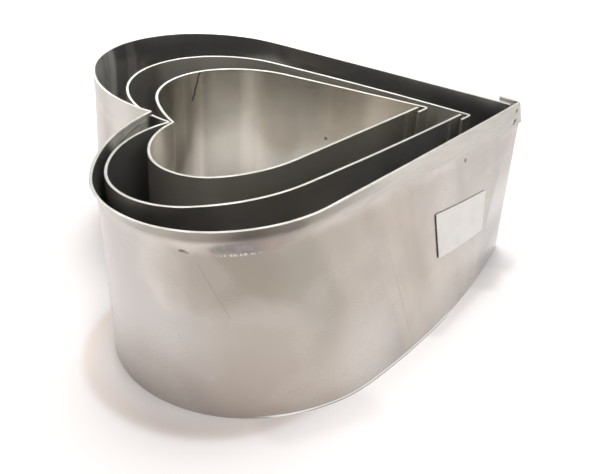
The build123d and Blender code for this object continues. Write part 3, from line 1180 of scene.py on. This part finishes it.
floorLook = {
    "size": 3.0,                      # metres from its middle to its sides
    "bounce": (0.80, 0.80, 0.80),     # what it throws on the object
    "colour": (1.1, 1.06, 1.05),      # what camera, metal and glass see
    "shadeColour": (1.01, 0.89, 0.83),
    "glow": (1.03, 0.96, 0.94),
    "glowShare": 0.6,
    "openDistance": 0.05,
    "openFrom": (0.38, 1.0),
    # a shadow painted round the near lobe, fitted to the photograph: its middle and radii, in mm
    "lobeMiddle": (-30.2, -42.2, 0.0),
    "lobeInner": (26.0, 32.0),
    "lobeOuter": (32.6, 36.3),
    "lobeShade": (0.4, 0.88),
    # and painted close to the foot elsewhere: start, end, width and strength
    "contactColour": (0.62, 0.60, 0.59),
    "contacts": (
        ((64.0, 7.0), (59.5, -3.5), 14.0, 0.66),
        ((58.0, -4.5), (50.0, -16.0), 9.5, 0.55),
        ((50.0, -16.0), (29.7, -38.2), 6.5, 0.4),
        ((-16.0, -73.5), (3.0, -68.0), 9.0, 0.3),
    ),
}


def seenRay(tree):
    # 1 where the camera looks, also by way of metal or glass
    path = tree.node("ShaderNodeLightPath")
    seen = tree.math("MAXIMUM", path.outputs["Is Camera Ray"], path.outputs["Is Glossy Ray"])
    return tree.math("MAXIMUM", seen, path.outputs["Is Transmission Ray"])


def addFloor():
    size = floorLook["size"]
    data = bpy.data.meshes.new("floor")
    corners = [(-size, -size, 0), (size, -size, 0), (size, size, 0), (-size, size, 0)]
    data.from_pydata(corners, [], [(0, 1, 2, 3)])
    floor = placed("floor", data)
    material = bpy.data.materials.new("paleFloor")
    material.use_nodes = True
    tree = Tree(material.node_tree)
    shader = material.node_tree.nodes["Principled BSDF"]
    shader.inputs["Roughness"].default_value = 0.9
    shader.inputs["Specular IOR Level"].default_value = 0.0
    seen = seenRay(tree)
    place = tree.scaled(tree.node("ShaderNodeTexCoord").outputs["Object"], 1 / mm)
    away = tree.vector("LENGTH", tree.vector("SUBTRACT", place, floorLook["lobeMiddle"]))
    viewed = tree.node("ShaderNodeLightPath").outputs["Is Camera Ray"]
    # a painted shadow round the near lobe and along the foot, seen only by the camera
    shade = tree.product(
        tree.ramp(away, *floorLook["lobeInner"], *floorLook["lobeShade"]),
        tree.ramp(away, *floorLook["lobeOuter"], 1.0, 0.0),
        viewed,
    )
    contact = 0.0
    for start, end, width, strength in floorLook["contacts"]:
        line = tree.product(lineMask(tree, place, start, end, width), strength)
        contact = tree.math("MAXIMUM", contact, line)
    contact = tree.product(contact, viewed)
    seenColour = tree.mixed(shade, floorLook["colour"], floorLook["shadeColour"])
    seenColour = tree.mixed(contact, seenColour, floorLook["contactColour"])
    shade = tree.math("MAXIMUM", shade, contact)
    tree.link(tree.mixed(seen, floorLook["bounce"], seenColour), shader.inputs["Base Color"])
    # the floor's glow is dimmed by ambient occlusion, a painted shade in the gaps between the strips
    # and close to the walls
    around = tree.node("ShaderNodeAmbientOcclusion")
    around.inputs["Distance"].default_value = floorLook["openDistance"]
    openness = tree.ramp(around.outputs["AO"], *floorLook["openFrom"])
    lit = tree.math("SUBTRACT", 1.0, shade)
    glow = tree.node("ShaderNodeEmission")
    glow.inputs["Color"].default_value = (*floorLook["glow"], 1.0)
    mix = tree.node("ShaderNodeMixShader")
    tree.link(tree.product(seen, openness, lit, floorLook["glowShare"]), mix.inputs[0])
    tree.link(shader.outputs[0], mix.inputs[1])
    tree.link(glow.outputs[0], mix.inputs[2])
    tree.link(mix.outputs[0], material.node_tree.nodes["Material Output"].inputs["Surface"])
    data.materials.append(material)


def addLamp(name, place, aim, size, power):
    data = bpy.data.lights.new(name, "AREA")
    data.shape = "DISK"
    data.size = size
    data.energy = power
    lamp = placed(name, data)
    lamp.location = place
    lamp.rotation_euler = (Vector(aim) - Vector(place)).to_track_quat("-Z", "Y").to_euler()


lamps = {
    "overheadSoftbox": {"place": (0.1, 0.42, 1.1), "size": 0.9, "power": 14.0},
    "backSoftbox": {"place": (0.1, 1.35, 0.35), "size": 0.5, "power": 2.0},
    "frontSoftbox": {"place": (0.5, -1.1, 1.0), "size": 0.8, "power": 3.5},
}
room = {
    "level": 0.42,        # what it throws on the object
    "ceiling": 0.25,      # what camera, metal and glass see overhead
    "horizon": 1.0,       # and all round, as a white backdrop
    "fadeFrom": 0.08,     # height over the horizon, as the sine of its angle
    "fadeTo": 0.5,
}

addFloor()
for name, lamp in lamps.items():
    addLamp(name, lamp["place"], (0, 0, 0.02), lamp["size"], lamp["power"])

world = bpy.data.worlds.new("studio")
bpy.context.scene.world = world
world.use_nodes = True
worldTree = Tree(world.node_tree)
background = world.node_tree.nodes["Background"]
direction = worldTree.node("ShaderNodeSeparateXYZ")
worldTree.link(worldTree.node("ShaderNodeTexCoord").outputs["Generated"], direction.inputs[0])
fade = (room["fadeFrom"], room["fadeTo"], room["horizon"], room["ceiling"])
backdrop = worldTree.ramp(direction.outputs["Z"], *fade)
seen = seenRay(worldTree)
unseen = worldTree.product(worldTree.math("SUBTRACT", 1.0, seen), room["level"])
strength = worldTree.math("MULTIPLY_ADD", seen, backdrop, unseen)
worldTree.link(strength, background.inputs["Strength"])
background.inputs["Color"].default_value = (1, 1, 1, 1)

bpy.context.scene.view_settings.view_transform = "Standard"
print("stage lit")
